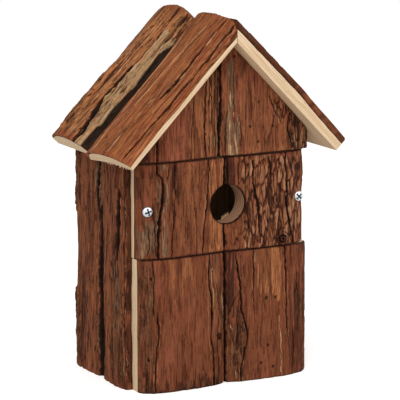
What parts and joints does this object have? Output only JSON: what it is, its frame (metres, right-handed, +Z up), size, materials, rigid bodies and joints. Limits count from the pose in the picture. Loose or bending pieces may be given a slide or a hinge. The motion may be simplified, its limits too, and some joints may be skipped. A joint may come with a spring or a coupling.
{
  "type": "birdhouse",
  "caption": "Birdhouse of bark-faced log slabs with a pitched roof, a round entry hole and a front panel that comes off when its screws are undone.",
  "frame": {"origin": "underside of the floor board, at the middle of the box", "axes": "+Z up, +X to the right as seen from the front, +Y to the back"},
  "size_m": [0.1981, 0.1289, 0.2829],
  "materials": {
    "bark_slab": "rough reddish-brown fir bark on sawn slab wood",
    "sawn_wood": "pale sawn softwood, unfinished",
    "zinc_screw": "bright zinc-plated steel"
  },
  "bodies": {
    "house": {"left_wall_front_slab": "bark_slab", "left_wall_rear_slab": "bark_slab", "right_wall_front_slab": "bark_slab", "right_wall_rear_slab": "bark_slab", "front_lower_left_slab": "bark_slab", "front_lower_right_slab": "bark_slab", "gable_left_slab": "bark_slab", "gable_right_slab": "bark_slab", "roof_left_front_slab": "bark_slab", "roof_left_rear_slab": "bark_slab", "roof_right_front_slab": "bark_slab", "roof_right_rear_slab": "bark_slab", "floor_board": "sawn_wood", "back_board": "sawn_wood", "sill_rail": "sawn_wood", "gable_rail": "sawn_wood", "eave_strip_left": "sawn_wood", "eave_strip_right": "sawn_wood", "ridge_strip": "sawn_wood"},
    "door": {"door_left_slab": "bark_slab", "door_right_slab": "bark_slab", "door_batten_lower": "sawn_wood", "door_batten_upper": "sawn_wood"},
    "screw_left": {"screw_left": "zinc_screw"},
    "screw_right": {"screw_right": "zinc_screw"}
  },
  "joints": [
    {"name": "door_pull", "type": "slide", "parent": "house", "child": "door", "axis": [0, -1, 0], "range_m": [0, 0.06]},
    {"name": "screw_left_turn", "type": "hinge", "parent": "door", "child": "screw_left", "pos_m": [-0.066, -0.0576, 0.1391], "axis": [0, -1, 0], "continuous": true},
    {"name": "screw_right_turn", "type": "hinge", "parent": "door", "child": "screw_right", "pos_m": [0.0634, -0.0576, 0.1391], "axis": [0, -1, 0], "continuous": true}
  ]
}
